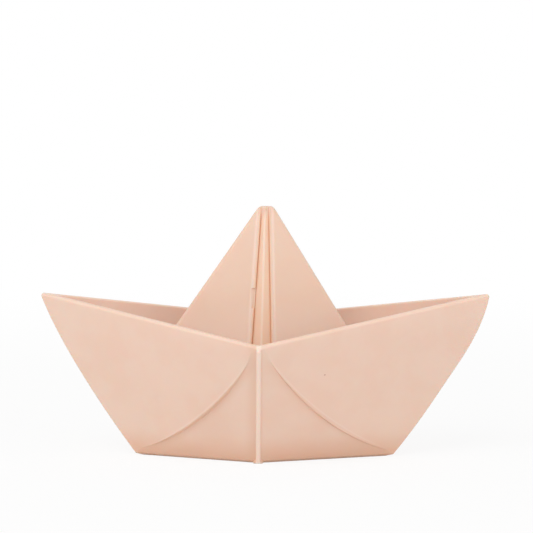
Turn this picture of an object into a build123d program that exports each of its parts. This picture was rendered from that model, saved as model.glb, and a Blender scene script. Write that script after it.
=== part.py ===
from build123d import *
import math
import os

# Toy sailing boat in the form of a folded paper boat, moulded in rubber as one piece.
# Millimetres. Origin on the resting face, midway between the tips.
# +X runs along the boat, +Y across it, +Z up.

# Hull, measured to its sharp corners before they are rounded
tip_to_tip = 142.6
tip_height = 51.6
waist_height = 39.6
beam = 75.0
floor_length = 81.8
floor_width = 30.0
wall = 2.5

# How far each stem bows out from a straight line, at three stations along it
left_stem_low = 1.25
left_stem_mid = 1.8
left_stem_high = 1.6
right_stem_low = 1.7
right_stem_mid = 2.55
right_stem_high = 2.9
stem_low_station = 0.25
stem_mid_station = 0.50
stem_high_station = 0.75

# Sail, a blunt four-sided pyramid. The middle fold leans a little towards one tip,
# and the outline of the broad face leans a little more.
sail_height = 78.6
sail_top_length = 4.45
sail_flare = 0.653
sail_edge = 2.8
fold_lean = 1.3
fold_shift = 0.3
outline_lean = 2.39
outline_shift = 0.28

# Two flap edges flank the middle fold of each broad face of the sail
fold_foot_gap = 9.5
fold_shoulder_gap = 2.8
fold_top_gap = 2.1
fold_shoulder_drop = 4.6
left_foot_depth = 1.6
right_foot_depth = 1.35
left_shoulder_depth = 0.85
right_shoulder_depth = 0.75
fold_top_depth = 0.3
fold_crest_drop = 0.1
fold_crest_reach = 0.5
lip_foot_reach = 1.2
lip_top_reach = 0.7
lip_clearance = 0.1
lip_crown_drop = 0.06
hollow_reach = 1.6
hollow_depth = 0.16

# Nick in the left flap edge of the near face
nick_height = 50.5
nick_length = 6.3
nick_width = 1.3
nick_depth = 0.6

# Recess beneath the sail, open at the foot
sail_wall = 2.8
foot_ring = 4.0
recess_knee = 22.0
recess_top_length = 4.0

# Flaps that overhang the lower triangles of the hull: how far each lip stands from its fold,
# at three stations along the fold, and how far the lip's wall slopes back
left_flap_top = 2.5
left_flap_high = 4.9
left_flap_low = 5.2
left_flap_draft = 50.0
right_flap_top = 2.0
right_flap_high = 4.1
right_flap_low = 4.8
right_flap_draft = 30.0
top_station = 0.12
high_station = 0.27
low_station = 0.69
flap_end_gap = 2.0
flap_root = 0.6
flap_round = 0.5

# Bead on the waist fold, and the knuckle at its foot
bead_radius = 0.8
bead_proud = 0.5
bead_start = 2.0
knuckle_radius = 1.6
knuckle_proud = 0.8

# Softened edges
hull_round = 0.8
rim_bevel = 0.2
sail_round = 1.2
shoulder_round = 2.1
foot_bevel = 0.5

# How far cutting shapes run past what they cut, and how near counts as touching
overshoot = 1.0
touch = 0.01

# Height at which the sail's outline would come to a point
peak_height = sail_height + sail_top_length / 2 / sail_flare


def middle(height):
    """Where the leaning middle fold of the boat lies along X at this height."""
    return fold_shift - (peak_height - height) * math.tan(math.radians(fold_lean))


def meet(first, second, third):
    """The point where three planes meet."""
    a, b, c = first.z_dir, second.z_dir, third.z_dir
    reach = (
        b.cross(c) * first.origin.dot(a)
        + c.cross(a) * second.origin.dot(b)
        + a.cross(b) * third.origin.dot(c)
    )
    return reach * (1 / a.dot(b.cross(c)))


# Sharp corners of the near half; side is -1 for the left-hand tip and 1 for the right
waist = Vector(middle(waist_height), -beam / 2, waist_height)
heel = Vector(middle(0), -floor_width / 2, 0)


def tip(side):
    return Vector(side * tip_to_tip / 2, 0, tip_height)


def toe(side):
    return Vector(side * floor_length / 2, 0, 0)


def outward(corner_a, corner_b, corner_c):
    """Plane through three corners of the near half, facing away from the boat."""
    normal = (corner_b - corner_a).cross(corner_c - corner_a)
    return Plane(origin=corner_a, z_dir=normal if normal.Y < 0 else normal * -1)


def flank_plane(side):
    return outward(waist, toe(side), tip(side))


def lower_plane(side):
    return outward(waist, heel, toe(side))


def rim_plane(side):
    """Top of the wall from the waist to a tip, level across the boat."""
    return Plane(origin=waist, z_dir=(tip(side) - waist).cross(Vector(0, side, 0)))


centre_plane = Plane.XZ
floor_plane = Plane.XY
roof_plane = Plane(origin=waist, z_dir=(tip(1) - waist).cross(tip(-1) - waist))


def stem(low, high):
    """Bowed edge of the hull from the floor to a tip."""
    left_bows = (left_stem_low, left_stem_mid, left_stem_high)
    right_bows = (right_stem_low, right_stem_mid, right_stem_high)
    stations = (stem_low_station, stem_mid_station, stem_high_station)
    chord = high - low
    bulge = Vector(chord.Z, 0, -chord.X).normalized()
    if bulge.X * low.X < 0:
        bulge = bulge * -1
    bows = zip(stations, left_bows if low.X < 0 else right_bows)
    return Spline(low, *[low + chord * station + bulge * bow for station, bow in bows], high)


def half_hull(inset, dip):
    """Near half of the hull's form, drawn in by inset but with its rim and floor kept in place."""
    flanks = [flank_plane(side).offset(-inset) for side in (-1, 1)]
    lowers = [lower_plane(side).offset(-inset) for side in (-1, 1)]
    high = [meet(flank, centre_plane, roof_plane) for flank in flanks]
    low = [meet(flank, centre_plane, floor_plane) for flank in flanks]
    peak = Vertex(*meet(*flanks, roof_plane))
    foot = meet(*lowers, floor_plane)
    top = [Line(high[0], high[1])] if dip is None else [Line(high[0], dip), Line(dip, high[1])]
    side_view = Wire([stem(low[0], high[0])] + top + [stem(low[1], high[1]), Line(low[1], low[0])])
    upper = Solid.make_loft([side_view, peak], ruled=True)
    base = Wire.make_polygon([low[0], foot, low[1]])
    lower = Solid.make_loft([base, peak], ruled=True)
    return upper + lower


def hull_form(inset=0.0, dip=None):
    near = half_hull(inset, dip)
    return near + mirror(near, Plane.XZ)


def sail_half_length(height):
    return sail_flare * (peak_height - height)


# Each broad face of the sail springs from the fold at the edge of the floor
face_turn = (floor_width - sail_edge) / 2 / sail_half_length(0)
face_slant = math.sqrt(1 + face_turn**2 + (face_turn * sail_flare) ** 2)


def sail_half_depth(height):
    return sail_edge / 2 + face_turn * sail_half_length(height)


def reach(height, side):
    """How far a side edge of the sail lies from its middle fold at this height."""
    shift = outline_shift - (sail_height - height) * math.tan(math.radians(outline_lean - fold_lean))
    return sail_half_length(height) + side * shift


def surface(height, across):
    """Y of the sail's near face at this height, a signed distance across from its middle fold."""
    side = -1 if across < 0 else 1
    depth = sail_half_depth(height)
    return -depth + (depth - sail_edge / 2) * abs(across) / reach(height, side)


def at_height(height, corners):
    """A flat outline at this height, centred on the leaning middle."""
    return Pos(middle(height), 0, height) * Polygon(*corners, align=None)


def sail_section(height):
    left, right = reach(height, -1), reach(height, 1)
    depth, edge = sail_half_depth(height), sail_edge / 2
    near = [(-left, -edge), (0, -depth), (right, -edge)]
    far = [(right, edge), (0, depth), (-left, edge)]
    return at_height(height, near + far)


def sail_form():
    """Blunt four-sided pyramid with rounded side edges and a tip rounded both ways."""
    form = loft([sail_section(-overshoot), sail_section(sail_height + touch)], ruled=True)
    rising = form.edges().filter_by(lambda edge: edge.length > sail_height / 2)
    side_edges = rising.filter_by(lambda edge: abs((edge @ 0).Y) < sail_edge)
    form = fillet(side_edges, sail_round)
    low, high = -2 * overshoot, sail_height
    along = [
        (middle(low) - reach(low, -1) - touch, low),
        (middle(high) - reach(high, -1) - touch, high),
        (middle(high) + reach(high, 1) + touch, high),
        (middle(low) + reach(low, 1) + touch, low),
    ]
    low_depth, high_depth = sail_half_depth(low) + touch, sail_half_depth(high) + touch
    across = [(-low_depth, low), (-high_depth, high), (high_depth, high), (low_depth, low)]
    return form & tip_outline(Plane.XZ, along, shoulder_round) & tip_outline(Plane.YZ, across, sail_round)


def tip_outline(plane, corners, radius):
    """A flat outline with its two top corners rounded, drawn out to both sides of its plane."""
    outline = Polygon(*corners, align=None)
    outline = fillet(outline.vertices().group_by(Axis.Y)[-1], radius)
    return extrude(plane * outline, tip_to_tip, both=True)


def lip(height, side, gap, depth, lip_reach):
    """One flap edge, from the broad face to the groove: a shallow hollow, then a rounded lip."""
    crown_across = side * (gap / 2 + lip_reach / 2)
    hollow_across = side * (gap / 2 + lip_reach)
    start_across = hollow_across + side * hollow_reach
    foot_across = side * gap / 2
    start = Vector(start_across, surface(height, start_across) - lip_clearance)
    hollow = Vector(hollow_across, surface(height, hollow_across) + hollow_depth)
    crown = Vector(crown_across, surface(height, crown_across) + lip_crown_drop)
    foot = Vector(foot_across, surface(height, foot_across) + depth)
    return start, hollow, crown, foot


def fold_section(height, gap, left_depth, right_depth, lip_reach):
    """Outline of the two grooves and the rounded fold that stands between them, on the near face."""
    start_left, hollow_left, crown_left, foot_left = lip(height, -1, gap, left_depth, lip_reach)
    start_right, hollow_right, crown_right, foot_right = lip(height, 1, gap, right_depth, lip_reach)
    crest = Vector(0, surface(height, 0) + fold_crest_drop)
    share = fold_crest_reach / (gap / 2)
    crest_left = crest + (foot_left - crest) * share
    crest_right = crest + (foot_right - crest) * share
    outside = surface(height, 0) - overshoot
    left_out, right_out = Vector(start_left.X, outside), Vector(start_right.X, outside)
    outline = Wire(
        [
            Line(left_out, start_left),
            Line(start_left, hollow_left),
            ThreePointArc(hollow_left, crown_left, foot_left),
            Line(foot_left, crest_left),
            ThreePointArc(crest_left, (crest + (crest_left + crest_right) * 0.5) * 0.5, crest_right),
            Line(crest_right, foot_right),
            ThreePointArc(foot_right, crown_right, hollow_right),
            Line(hollow_right, start_right),
            Line(start_right, right_out),
            Line(right_out, left_out),
        ]
    )
    return Pos(middle(height), 0, height) * outline


def fold_cut():
    """What is cut from the near face of the sail to leave its flap edges and middle fold."""
    mid_height, top_height = sail_height - fold_shoulder_drop, sail_height + overshoot
    low = fold_section(0, fold_foot_gap, left_foot_depth, right_foot_depth, lip_foot_reach)
    mid_depths = (left_shoulder_depth, right_shoulder_depth)
    mid = fold_section(mid_height, fold_shoulder_gap, *mid_depths, lip_top_reach)
    high = fold_section(top_height, fold_top_gap, fold_top_depth, fold_top_depth, lip_top_reach)
    return Solid.make_loft([low, mid], ruled=True) + Solid.make_loft([mid, high], ruled=True)


def nick():
    """Small notch that steps the left flap edge of the near face outwards for a short way."""
    rise = nick_height / (sail_height - fold_shoulder_drop)
    gap = fold_foot_gap + (fold_shoulder_gap - fold_foot_gap) * rise
    across = -gap / 2 - nick_width / 4
    reach_in = (nick_depth - overshoot) / 2
    spot = Vector(middle(nick_height) + across, surface(nick_height, across) + reach_in, nick_height)
    slope = math.degrees(math.atan(face_turn * sail_flare))
    return Pos(*spot) * Rot(-slope, 0, 0) * Box(nick_width, nick_depth + overshoot, nick_length)


def recess_section(height, half_length, half_depth):
    corners = [(-half_length, 0), (0, -half_depth), (half_length, 0), (0, half_depth)]
    return at_height(height, corners)


def recess_form():
    """Hollow beneath the sail: a straight foot, then parallel to the sail's own faces."""
    mouth_end = meet(flank_plane(1).offset(-foot_ring), centre_plane, floor_plane)
    lowers = [lower_plane(side).offset(-foot_ring) for side in (-1, 1)]
    mouth_side = meet(*lowers, floor_plane)
    mouth_depth = -mouth_side.Y
    mouth_length = mouth_end.X
    knee_depth = sail_half_depth(recess_knee) - sail_wall * face_slant
    top_depth = recess_top_length / 2 * face_turn
    top_sail_depth = top_depth + sail_wall * face_slant
    top_height = peak_height - (top_sail_depth - sail_edge / 2) / face_turn / sail_flare
    sections = [
        recess_section(-overshoot, mouth_length, mouth_depth),
        recess_section(0, mouth_length, mouth_depth),
        recess_section(recess_knee, knee_depth / face_turn, knee_depth),
        recess_section(top_height, recess_top_length / 2, top_depth),
    ]
    return loft(sections, ruled=True)


def flap(side, top_bow, high_bow, low_bow, draft):
    """Edge of a flank, carried past its fold so that it stands off the lower triangle."""
    lower, chord = lower_plane(side), toe(side) - waist
    along = chord.normalized()
    bow = along.cross(lower.z_dir)
    if bow.dot(heel - waist) < 0:
        bow = bow * -1
    start, end = waist + along * flap_end_gap, toe(side) - along * flap_end_gap
    stations = ((top_station, top_bow), (high_station, high_bow), (low_station, low_bow))
    lip_spots = [waist + chord * station + bow * lip_bow for station, lip_bow in stations]
    outline = Face(Wire([Spline(start, *lip_spots, end), Line(end, start)]))
    draw = lower.z_dir - bow * math.tan(math.radians(draft))
    block = Solid.extrude(outline.translate(lower.z_dir * -flap_root), draw * wall)
    normal = chord.cross(stem(toe(side), tip(side)) % 0)
    skin = Plane(origin=waist, z_dir=normal if normal.Y < 0 else normal * -1)
    block = split(block, skin, keep=Keep.BOTTOM)
    skin_face = block.faces().sort_by(lambda face: abs(face.normal_at().dot(skin.z_dir)))[-1]
    lip_edge = skin_face.edges().sort_by(SortBy.LENGTH)[-1]
    return fillet(lip_edge, flap_round)


def waist_bead():
    """Rounded rib that stands a little proud of the fold at the waist, with a knuckle at its foot."""
    run = heel - waist
    outward_side = Vector(0, run.Z, -run.Y).normalized()
    inset = outward_side * (bead_radius - bead_proud)
    start = waist - inset + run.normalized() * bead_start
    rib = Solid.make_cylinder(bead_radius, run.length, Plane(origin=start, z_dir=run))
    cap = Pos(*start) * Sphere(bead_radius)
    knuckle = Pos(*(heel - outward_side * (knuckle_radius - knuckle_proud))) * Sphere(knuckle_radius)
    return rib + cap + knuckle


def off(plane, point):
    """How far a point of either half lies from a plane of the near half."""
    near = Vector(point.X, -abs(point.Y), point.Z)
    return abs((near - plane.origin).dot(plane.z_dir))


def is_rim(edge):
    """True for the edges that run from the waist to the tips along the top of the hull's form."""
    spots = [edge @ place for place in (0, 0.5, 1)]
    side = 1 if spots[1].X > waist.X else -1
    in_top = max(off(rim_plane(side), spot) for spot in spots) < touch
    return in_top and abs(spots[1].Y) > touch and abs(spots[2].X - spots[0].X) > wall


def is_stem(edge):
    """True for the bowed folds that run from the floor to the tips."""
    spot = edge @ 0.5
    return touch < spot.Z < waist_height and abs(spot.Y) < touch


def bevel_planes(corner, first, second, depth):
    """Planes that cut an edge through corner back by depth, midway between the ways its two
    faces look, in the near half and in the far half."""
    normal = (first + second).normalized()
    spot = corner - normal * depth
    far_spot, far_normal = Vector(spot.X, -spot.Y, spot.Z), Vector(normal.X, -normal.Y, normal.Z)
    return [Plane(origin=spot, z_dir=normal), Plane(origin=far_spot, z_dir=far_normal)]


def foot_bevelled(form):
    """The form with the edges of its floor cut off."""
    for side in (-1, 1):
        for plane in bevel_planes(heel, lower_plane(side).z_dir, Vector(0, 0, -1), foot_bevel):
            form = split(form, plane, keep=Keep.BOTTOM)
    return form


def rim_funnel():
    """What is cut from the well's mouth to soften the inner lip of the rim."""
    funnel = Pos(0, 0, tip_height) * Box(2 * tip_to_tip, 2 * tip_to_tip, 2 * tip_to_tip)
    for side in (-1, 1):
        top, inside = rim_plane(side), flank_plane(side).offset(-wall)
        corner = meet(inside, top, centre_plane)
        for plane in bevel_planes(corner, top.z_dir, inside.z_dir * -1, rim_bevel):
            funnel = split(funnel, plane, keep=Keep.TOP)
    return funnel


def hull_shell():
    """Open hull of even wall, with the outside of its rim and its ends rounded."""
    form = hull_form(0, dip=Vector(waist.X, 0, waist.Z))
    outside = fillet(form.edges().filter_by(lambda edge: is_rim(edge) or is_stem(edge)), hull_round)
    return foot_bevelled(outside) - hull_form(wall) - rim_funnel()


def folded_sail():
    cut = fold_cut()
    return sail_form() - cut - mirror(cut, Plane.XZ) - nick()


def planted(sail):
    """The sail trimmed so that it ends inside the hull's wall."""
    foot = sail & hull_form(wall / 2)
    above = split(sail, Plane.XY.offset(waist_height / 2), keep=Keep.TOP)
    return foot + above


def boat():
    outer_details = [
        flap(-1, left_flap_top, left_flap_high, left_flap_low, left_flap_draft),
        flap(1, right_flap_top, right_flap_high, right_flap_low, right_flap_draft),
        waist_bead(),
    ]
    outer_details += [mirror(shape, Plane.XZ) for shape in outer_details]
    body = hull_shell() + planted(folded_sail()) - recess_form() + outer_details
    return split(body, floor_plane, keep=Keep.TOP)


os.makedirs("parts", exist_ok=True)
export_step(boat(), "parts/boat.step")
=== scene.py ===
import math

import bmesh
import bpy
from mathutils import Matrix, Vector

# A toy boat in folded-paper form, moulded in pale rubber, on a white studio floor.
# Metres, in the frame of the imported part: +X along the boat, +Z up.

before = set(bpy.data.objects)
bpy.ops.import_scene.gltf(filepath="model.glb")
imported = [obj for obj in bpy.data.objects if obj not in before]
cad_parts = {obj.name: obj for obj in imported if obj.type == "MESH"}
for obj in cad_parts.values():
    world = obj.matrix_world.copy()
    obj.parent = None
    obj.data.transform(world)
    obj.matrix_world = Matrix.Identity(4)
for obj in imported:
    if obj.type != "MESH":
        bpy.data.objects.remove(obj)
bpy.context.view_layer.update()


# Short forms for nodes. A socket among the inputs is linked, any other value is set.

def addNode(tree, kind, inputs=None, **settings):
    node = tree.nodes.new(kind)
    for name, value in settings.items():
        setattr(node, name, value)
    for name, value in (inputs or {}).items():
        if isinstance(value, bpy.types.NodeSocket):
            tree.links.new(value, node.inputs[name])
        else:
            node.inputs[name].default_value = value
    return node


def newMaterial(name):
    material = bpy.data.materials.new(name)
    material.use_nodes = True
    material.node_tree.nodes.clear()
    return material


def mathNode(tree, operation, first, second=None, third=None):
    inputs = {0: first}
    if second is not None:
        inputs[1] = second
    if third is not None:
        inputs[2] = third
    return addNode(tree, "ShaderNodeMath", inputs, operation=operation).outputs[0]


def times(tree, first, second):
    return mathNode(tree, "MULTIPLY", first, second)


def measure(tree, operation, first, second=None):
    # a length, a distance or a dot product
    inputs = {0: first} if second is None else {0: first, 1: second}
    return addNode(tree, "ShaderNodeVectorMath", inputs, operation=operation).outputs["Value"]


def splitAxes(tree, vector):
    axes = addNode(tree, "ShaderNodeSeparateXYZ", {"Vector": vector}).outputs
    return axes["X"], axes["Y"], axes["Z"]


def smoothStep(tree, value, start, full):
    # 0 at start and 1 at full, whichever of the two is the larger
    ramp = addNode(tree, "ShaderNodeMapRange", {"Value": value, "From Min": start, "From Max": full},
                   interpolation_type="SMOOTHSTEP")
    return ramp.outputs["Result"]


def band(tree, value, centre, core, fade):
    # 1 on a line, falling softly to 0 beside it
    aside = mathNode(tree, "ABSOLUTE", mathNode(tree, "SUBTRACT", value, centre))
    return smoothStep(tree, aside, fade, core)


def noise(tree, place, scale, detail, roughness):
    node = addNode(tree, "ShaderNodeTexNoise",
                   {"Vector": place, "Scale": scale, "Detail": detail, "Roughness": roughness})
    return node.outputs["Fac"]


def mixColour(tree, share, first, second):
    # a Mix node for colours has its share, A and B at inputs 0, 6 and 7
    node = addNode(tree, "ShaderNodeMix", {0: share, 6: first, 7: second}, data_type="RGBA")
    return node.outputs[2]


# Where the folds run, as in the solid. The middle fold leans, and its two grooves close up
# towards the tip. A core is the half width of a line at full strength, a fade where it ends.
folds = {
    "lean": 1.3,
    "shift": 0.0003,
    "peakHeight": 0.08198,                  # at this height the fold is off the middle by its shift
    "footGap": 0.0095,
    "shoulderGap": 0.0028,
    "shoulderHeight": 0.074,
    "grooveCore": 0.00020,
    "grooveFade": 0.00075,
    "stripSoft": 0.0004,
    "lipPlace": 0.00105,
    "lipCore": 0.00015,
    "lipFade": 0.00065,
    "crestFade": 0.00060,
    "ridgeCore": 0.00045,
    "ridgeFade": 0.00095,
    "ridgeShadePlace": -0.0013,
    "ridgeShadeFade": 0.0034,
    "topRange": (0.0745, 0.0775),           # the grooves run out here, below the sail's tip
    "seamPlace": 0.0004,                    # the mould's parting mark at the very tip
    "seamFade": 0.00025,
    "seamRange": (0.0770, 0.0778),
    "sailDepth": 0.014,                     # the sail is nearer the middle plane, the flanks further out
    "wellFloor": 0.015,
    "sailReach": 0.034,
    "sailSlant": 0.2,                       # the sail's broad faces lean in by this much with height
    "sailFace": 0.0172,
    "sailFootLow": 0.030,
    "sailFootRange": (0.051, 0.036),
}


def foldMasks(tree, place):
    x, y, z = splitAxes(tree, place)
    slope = math.tan(math.radians(folds["lean"]))
    across = mathNode(tree, "MULTIPLY_ADD", z, -slope, x)
    across = mathNode(tree, "ADD", across, folds["peakHeight"] * slope - folds["shift"])
    aside = mathNode(tree, "ABSOLUTE", across)
    closing = (folds["shoulderGap"] - folds["footGap"]) / 2 / folds["shoulderHeight"]
    halfGap = mathNode(tree, "MULTIPLY_ADD", z, closing, folds["footGap"] / 2)
    beside = mathNode(tree, "SUBTRACT", aside, halfGap)     # outwards from a groove's middle
    depth = mathNode(tree, "ABSOLUTE", y)
    onHull = mathNode(tree, "GREATER_THAN", depth, folds["sailDepth"])
    onSail = times(tree, mathNode(tree, "LESS_THAN", depth, folds["sailDepth"]),
                   mathNode(tree, "GREATER_THAN", z, folds["wellFloor"]))
    topStart, topFull = folds["topRange"]
    fading = smoothStep(tree, z, topFull, topStart)

    slant = mathNode(tree, "MULTIPLY_ADD", z, folds["sailSlant"], depth)
    face = times(tree, mathNode(tree, "LESS_THAN", slant, folds["sailFace"]),
                 mathNode(tree, "LESS_THAN", aside, folds["sailReach"]))
    face = times(tree, face, mathNode(tree, "GREATER_THAN", z, folds["sailFootLow"]))

    # painted shade along each groove
    groove = times(tree, band(tree, beside, 0.0, folds["grooveCore"], folds["grooveFade"]), onSail)
    # painted light on the strip between the grooves
    strip = times(tree, smoothStep(tree, beside, folds["stripSoft"], -folds["stripSoft"]), onSail)
    # painted highlight on the middle fold's crest
    crest = times(tree, band(tree, across, 0.0, 0.0, folds["crestFade"]), onSail)
    # painted highlight along each groove's lip
    lip = band(tree, beside, folds["lipPlace"], folds["lipCore"], folds["lipFade"])
    # painted highlight along the hull's middle ridge
    ridge = band(tree, across, 0.0, folds["ridgeCore"], folds["ridgeFade"])
    ridgeShade = band(tree, across, folds["ridgeShadePlace"], 0.0, folds["ridgeShadeFade"])
    seam = band(tree, across, folds["seamPlace"], 0.0, folds["seamFade"])
    return {
        "top": smoothStep(tree, z, topStart, topFull),
        "seam": times(tree, seam, smoothStep(tree, z, *folds["seamRange"])),
        "sail": face,
        # painted light on the sail's lower part
        "sailFoot": times(tree, smoothStep(tree, z, *folds["sailFootRange"]), face),
        "groove": times(tree, groove, fading),
        "strip": times(tree, strip, fading),
        "crest": times(tree, crest, fading),
        "lip": times(tree, lip, onSail),
        "ridge": times(tree, ridge, onHull),
        "ridgeShade": times(tree, ridgeShade, onHull),
    }


# Each flap's edge bows below its fold on the way from the waist to the toe.
# Sides are -1 for the left of the near face and 1 for the right.
flaps = {
    "waist": (-0.0007, -0.0375, 0.0396),
    "toeReach": 0.0409,
    "tipReach": 0.0713,
    "tipHeight": 0.0516,
    "bow": {-1: 0.00435, 1: 0.00395},
    "bowMiddle": 0.033,
    "bowHalf": 0.030,
    "bowPower": 0.75,
    "overlap": 0.0004,                      # the edge's painted highlight line and painted shade start this much above it
    "shadeStart": 0.0002,
    "shadeReach": 0.0034,
    "shadeShare": {-1: 1.0, 1: 0.5},
    "lineFade": 0.00045,
    "endFade": 0.5,
    "outerFacing": (-0.1, -0.2),            # the flanks face down a little, the wells' faces up
}


def flapMasks(tree, place, facing):
    # how far each point of a flank lies below the flap's edge, on the near half and its mirror image
    x, y, z = splitAxes(tree, place)
    nearY = times(tree, mathNode(tree, "ABSOLUTE", y), -1.0)
    near = addNode(tree, "ShaderNodeCombineXYZ", {"X": x, "Y": nearY, "Z": z}).outputs["Vector"]
    waist = Vector(flaps["waist"])
    spot = addNode(tree, "ShaderNodeVectorMath", {0: near, 1: waist}, operation="SUBTRACT")
    outer = smoothStep(tree, facing, *flaps["outerFacing"])
    shades, lines = 0.0, 0.0
    for side in (-1, 1):
        toe = Vector((side * flaps["toeReach"], 0, 0))
        tip = Vector((side * flaps["tipReach"], 0, flaps["tipHeight"]))
        along = (toe - waist).normalized()
        down = along.cross(along.cross(tip - waist)).normalized()
        down = down if down.z < 0 else -down
        run = measure(tree, "DOT_PRODUCT", spot.outputs["Vector"], along)
        fall = measure(tree, "DOT_PRODUCT", spot.outputs["Vector"], down)
        part = mathNode(tree, "MULTIPLY_ADD", run, 1 / flaps["bowHalf"],
                        -flaps["bowMiddle"] / flaps["bowHalf"])
        share = mathNode(tree, "SUBTRACT", 1.0, times(tree, part, part))
        share = mathNode(tree, "MAXIMUM", share, 0.0)
        edge = times(tree, mathNode(tree, "POWER", share, flaps["bowPower"]), flaps["bow"][side])
        below = mathNode(tree, "SUBTRACT", fall, edge)
        here = mathNode(tree, "GREATER_THAN", times(tree, x, float(side)), 0.0)
        here = times(tree, times(tree, here, outer), smoothStep(tree, share, 0.0, flaps["endFade"]))
        # painted shade below the flap's edge, then a painted highlight line along the edge
        shade = times(tree, smoothStep(tree, below, flaps["shadeReach"], 0.0),
                      smoothStep(tree, below, -flaps["overlap"], flaps["shadeStart"]))
        shade = times(tree, shade, flaps["shadeShare"][side])
        line = band(tree, below, -flaps["overlap"], 0.0, flaps["lineFade"])
        shades = mathNode(tree, "MAXIMUM", times(tree, shade, here), shades)
        lines = mathNode(tree, "MAXIMUM", times(tree, line, here), lines)
    return shades, lines


specks = {
    "core": 0.3,                            # share of a fleck's radius that is fully dark
    "flecks": (                             # place and radius
        ((0.01915, -0.02292, 0.02899), 0.00035),
        ((-0.05047, -0.00346, 0.02619), 0.00040),
        ((0.03120, 0.01380, 0.02500), 0.00035),
        ((-0.02210, 0.02200, 0.03100), 0.00030),
    ),
}


def speckMask(tree, place):
    mask = 0.0
    for spot, radius in specks["flecks"]:
        away = measure(tree, "DISTANCE", place, spot)
        mask = mathNode(tree, "MAXIMUM", smoothStep(tree, away, radius, radius * specks["core"]), mask)
    return mask


rubber = {
    "body": (0.845, 0.634, 0.519, 1),
    "mottle": (0.838, 0.610, 0.492, 1),
    "sail": (0.82, 0.595, 0.462, 1),        # the sail is coloured a touch darker and warmer than the hull
    "creaseShade": (0.78, 0.37, 0.17, 1),        # painted shade, warm and dark, in the creases and grooves
    "shade": (0.745, 0.44, 0.295, 1),       # weaker and broader, under the flaps and in the wells
    "glow": (0.93, 0.655, 0.49, 1),         # painted light on the fold between the grooves, standing for light that has come through it
    "paintedHighlight": (0.90, 0.72, 0.62, 1),          # painted highlight on thin edges, lips, the crest, the ridge, the flaps' edges and the sail's foot, where thin rubber lets more light through
    "speck": (0.45, 0.16, 0.09, 1),
    "mottleScale": 95,
    "mottleDetail": 3,
    "mottleRoughness": 0.55,
    "mottleRange": (0.38, 0.66),
    "closenessSamples": 12,
    "shadeReach": 0.016,                    # how far walls are felt by the wells' shade
    "shadeRange": (0.08, 0.85),
    "shadeShare": 0.60,
    "creaseReach": 0.0022,
    "creaseRange": (0.12, 0.75),
    "creaseShare": 0.55,
    "edgeReach": 0.0011,
    "edgeRange": (0.1, 0.6),
    "edgeShare": 0.75,
    "topEdgeCut": 0.8,                      # how much of the painted edge highlight is taken back at the sail's tip
    "footHeight": 0.010,
    "footShare": 0.62,
    "underRange": (-0.60, -0.76),           # painted shade on down-facing faces: a flap's underside or the foot's bevel
    "underShare": 0.40,
    "flapShadeShare": 0.34,
    "flapLineShare": 0.38,
    "sailShare": 0.6,
    "sailFootShare": 0.5,
    "grooveShare": 0.22,
    "stripShare": 0.8,
    "crestShare": 0.65,
    "lipShare": 0.70,
    "ridgeShare": 0.95,
    "ridgeShadeShare": 0.30,
    "topShare": 0.12,
    "seamShare": 0.8,
    "speckShare": 0.75,
    "waveScale": 22,
    "waveDetail": 1.5,
    "waveRoughness": 0.4,
    "waveStrength": 0.35,
    "waveDepth": 0.002,
    "grainScale": 1400,
    "grainDetail": 2,
    "grainRoughness": 0.5,
    "grainStrength": 0.10,
    "grainDepth": 0.0002,
    "roughness": 0.52,
    "specular": 0.35,
    "subsurface": 0.4,
    "scatterScale": 0.0026,
    "scatterRadius": (1.0, 0.42, 0.25),
}


def closeness(tree, reach, inside):
    # 0 on open faces, rising to 1 where walls stand near (outside) or the wall is thin (inside)
    node = addNode(tree, "ShaderNodeAmbientOcclusion", {"Distance": reach},
                   samples=rubber["closenessSamples"], inside=inside, only_local=True)
    return mathNode(tree, "SUBTRACT", 1.0, node.outputs["AO"])


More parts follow.
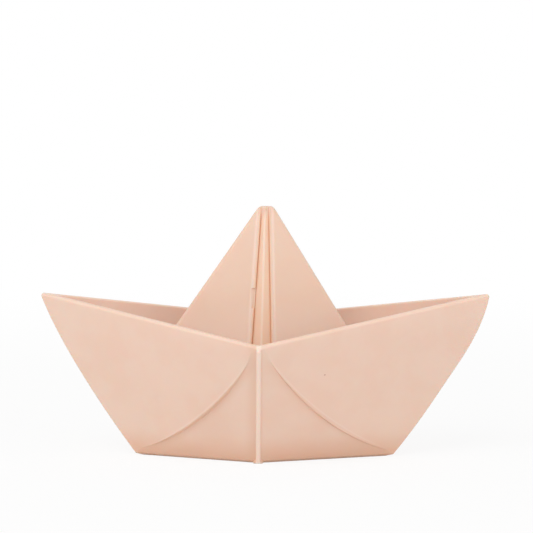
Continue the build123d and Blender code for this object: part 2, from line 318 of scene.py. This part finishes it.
def makeRubber():
    material = newMaterial("paleRubber")
    tree = material.node_tree
    place = addNode(tree, "ShaderNodeTexCoord").outputs["Object"]
    height = splitAxes(tree, place)[2]
    normal = addNode(tree, "ShaderNodeNewGeometry").outputs["Normal"]
    facing = splitAxes(tree, normal)[2]     # 1 where a face looks up, -1 where it looks down

    # painted shade near the floor, darker towards the bottom
    low = smoothStep(tree, height, rubber["footHeight"], 0.0)
    # painted shade in the wells and beside walls
    broad = smoothStep(tree, closeness(tree, rubber["shadeReach"], False), *rubber["shadeRange"])
    # painted highlight on thin edges and rims
    thin = smoothStep(tree, closeness(tree, rubber["edgeReach"], True), *rubber["edgeRange"])
    # painted shade in the creases, where walls stand near
    crease = smoothStep(tree, closeness(tree, rubber["creaseReach"], False), *rubber["creaseRange"])
    # painted shade on faces that look down
    under = smoothStep(tree, facing, *rubber["underRange"])
    lines = foldMasks(tree, place)
    flapShade, flapLine = flapMasks(tree, place, facing)
    thin = mathNode(tree, "MULTIPLY_ADD", times(tree, thin, lines["top"]), -rubber["topEdgeCut"], thin)
    crease = times(tree, crease, mathNode(tree, "SUBTRACT", 1.0, lines["top"]))

    mottle = noise(tree, place, rubber["mottleScale"], rubber["mottleDetail"], rubber["mottleRoughness"])
    mottle = smoothStep(tree, mottle, *rubber["mottleRange"])
    colour = mixColour(tree, mottle, rubber["body"], rubber["mottle"])
    tints = (       # each lies over the ones before it: mask, share, tone
        # painted shade near the floor
        (low, "footShare", "shade"),
        # painted shade in the wells
        (broad, "shadeShare", "shade"),
        # painted shade on faces that look down
        (under, "underShare", "shade"),
        # painted shade below the flaps' edges
        (flapShade, "flapShadeShare", "shade"),
        # painted highlight along the flaps' edges
        (flapLine, "flapLineShare", "paintedHighlight"),
        (lines["sail"], "sailShare", "sail"),
        # painted light on the sail's lower part
        (lines["sailFoot"], "sailFootShare", "paintedHighlight"),
        # painted light on the strip between the grooves
        (lines["strip"], "stripShare", "glow"),
        (lines["ridgeShade"], "ridgeShadeShare", "shade"),
        # painted highlight along the lips
        (lines["lip"], "lipShare", "paintedHighlight"),
        # painted highlight on the crest
        (lines["crest"], "crestShare", "paintedHighlight"),
        # painted highlight on thin edges
        (thin, "edgeShare", "paintedHighlight"),
        # painted shade in the creases
        (crease, "creaseShare", "creaseShade"),
        # painted shade along the grooves
        (lines["groove"], "grooveShare", "creaseShade"),
        # painted highlight on the ridge
        (lines["ridge"], "ridgeShare", "paintedHighlight"),
        # painted shade at the sail's tip
        (lines["top"], "topShare", "shade"),
        (lines["seam"], "seamShare", "shade"),
        (speckMask(tree, place), "speckShare", "speck"),
    )
    for mask, share, tone in tints:
        colour = mixColour(tree, times(tree, mask, rubber[share]), colour, rubber[tone])

    waves = noise(tree, place, rubber["waveScale"], rubber["waveDetail"], rubber["waveRoughness"])
    waveBump = addNode(tree, "ShaderNodeBump",
                       {"Strength": rubber["waveStrength"], "Distance": rubber["waveDepth"],
                        "Height": waves})
    grain = noise(tree, place, rubber["grainScale"], rubber["grainDetail"], rubber["grainRoughness"])
    grainBump = addNode(tree, "ShaderNodeBump",
                        {"Strength": rubber["grainStrength"], "Distance": rubber["grainDepth"],
                         "Height": grain, "Normal": waveBump.outputs["Normal"]})
    shader = addNode(tree, "ShaderNodeBsdfPrincipled",
                     {"Base Color": colour, "Roughness": rubber["roughness"],
                      "Specular IOR Level": rubber["specular"],
                      "Subsurface Weight": rubber["subsurface"],
                      "Subsurface Radius": rubber["scatterRadius"],
                      "Subsurface Scale": rubber["scatterScale"],
                      "Normal": grainBump.outputs["Normal"]})
    addNode(tree, "ShaderNodeOutputMaterial", {"Surface": shader.outputs["BSDF"]})
    return material


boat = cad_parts["boat"]
rubberMaterial = makeRubber()
for slot in boat.material_slots:
    slot.material = rubberMaterial
print("rubber is on the boat")


studio = {
    "white": (1, 1, 1, 1),
    "floorSize": 12.0,
    "floorColour": (0.92, 0.92, 0.92, 1),
    "nearWhite": 0.86,                      # share of white beside the boat, so that its shadow shows
    "farWhite": 1.0,
    "nearReach": 0.12,
    "farReach": 0.45,
    "worldColour": (1.0, 0.995, 0.985, 1),
    "worldStrength": 0.66,
    "aim": (0, 0, 0.04),                    # the boat's middle
    "keySize": 1.3,
    "keyPower": 10.0,
    "keyPlace": (-0.62, -1.02, 1.15),
    "fillSize": 1.2,
    "fillPower": 3.2,
    "fillPlace": (1.1, -0.9, 0.5),
}


def seenStraight(tree):
    # 1 for what the camera sees, also in a reflection or through glass, and 0 for the light on the boat
    lightPath = addNode(tree, "ShaderNodeLightPath").outputs
    seen = mathNode(tree, "MAXIMUM", lightPath["Is Camera Ray"], lightPath["Is Glossy Ray"])
    return mathNode(tree, "MAXIMUM", seen, lightPath["Is Transmission Ray"])


def makeFloor():
    material = newMaterial("paleFloor")
    tree = material.node_tree
    plain = addNode(tree, "ShaderNodeBsdfDiffuse", {"Color": studio["floorColour"]})
    white = addNode(tree, "ShaderNodeEmission", {"Color": studio["white"], "Strength": 1.0})
    clear = addNode(tree, "ShaderNodeBsdfTransparent")
    place = addNode(tree, "ShaderNodeTexCoord").outputs["Object"]
    ramp = addNode(tree, "ShaderNodeMapRange",
                   {"Value": measure(tree, "LENGTH", place),
                    "From Min": studio["nearReach"], "From Max": studio["farReach"],
                    "To Min": studio["nearWhite"], "To Max": studio["farWhite"]},
                   interpolation_type="SMOOTHSTEP")
    share = times(tree, seenStraight(tree), ramp.outputs["Result"])
    lit = addNode(tree, "ShaderNodeMixShader", {0: share, 1: plain.outputs[0], 2: white.outputs[0]})
    below = addNode(tree, "ShaderNodeNewGeometry").outputs["Backfacing"]    # clear from underneath
    sides = addNode(tree, "ShaderNodeMixShader", {0: below, 1: lit.outputs[0], 2: clear.outputs[0]})
    addNode(tree, "ShaderNodeOutputMaterial", {"Surface": sides.outputs[0]})
    mesh = bpy.data.meshes.new("floor")
    shape = bmesh.new()
    bmesh.ops.create_grid(shape, x_segments=1, y_segments=1, size=studio["floorSize"] / 2)
    shape.to_mesh(mesh)
    shape.free()
    mesh.materials.append(material)
    floor = bpy.data.objects.new("floor", mesh)
    bpy.context.scene.collection.objects.link(floor)


def makeWorld():
    world = bpy.data.worlds.new("studioLight")
    world.use_nodes = True
    tree = world.node_tree
    tree.nodes.clear()
    dome = addNode(tree, "ShaderNodeBackground",
                   {"Color": studio["worldColour"], "Strength": studio["worldStrength"]})
    white = addNode(tree, "ShaderNodeBackground", {"Color": studio["white"], "Strength": 1.0})
    both = addNode(tree, "ShaderNodeMixShader",
                   {0: seenStraight(tree), 1: dome.outputs[0], 2: white.outputs[0]})
    addNode(tree, "ShaderNodeOutputWorld", {"Surface": both.outputs[0]})
    bpy.context.scene.world = world


def addLamp(name, place, size, power):
    lamp = bpy.data.lights.new(name, "AREA")
    lamp.shape = "DISK"
    lamp.size = size
    lamp.energy = power
    holder = bpy.data.objects.new(name, lamp)
    bpy.context.scene.collection.objects.link(holder)
    holder.location = place
    towards = Vector(studio["aim"]) - Vector(place)
    holder.rotation_euler = towards.to_track_quat("-Z", "Y").to_euler()


makeFloor()
makeWorld()
addLamp("keyLamp", studio["keyPlace"], studio["keySize"], studio["keyPower"])
addLamp("fillLamp", studio["fillPlace"], studio["fillSize"], studio["fillPower"])
print("floor, world and lamps are in place")


shot = {
    "azimuth": 1.65,
    "elevation": 7.70,
    "distance": 1.0,
    "lens": 215.7,
    "sensorWidth": 36,
    "clipStart": 0.01,
    "clipEnd": 50,
    "pivot": (0, 0, 0.040),
    "aimRight": 0.00062,                    # the boat sits off the picture's middle by these
    "aimUp": 0.01957,
}


def makeCamera():
    azimuth, elevation = math.radians(shot["azimuth"]), math.radians(shot["elevation"])
    back = Vector((math.sin(azimuth) * math.cos(elevation),
                   -math.cos(azimuth) * math.cos(elevation), math.sin(elevation)))
    right = Vector((math.cos(azimuth), math.sin(azimuth), 0))
    up = right.cross(-back)
    place = Vector(shot["pivot"]) + back * shot["distance"]
    aim = Vector(shot["pivot"]) + right * shot["aimRight"] + up * shot["aimUp"]
    lens = bpy.data.cameras.new("camera")
    lens.lens = shot["lens"]
    lens.sensor_width = shot["sensorWidth"]
    lens.clip_start, lens.clip_end = shot["clipStart"], shot["clipEnd"]
    camera = bpy.data.objects.new("camera", lens)
    bpy.context.scene.collection.objects.link(camera)
    camera.location = place
    camera.rotation_euler = (aim - place).to_track_quat("-Z", "Y").to_euler()
    bpy.context.scene.camera = camera


makeCamera()
bpy.context.scene.view_settings.view_transform = "Standard"
print("camera is at the photograph's angle")
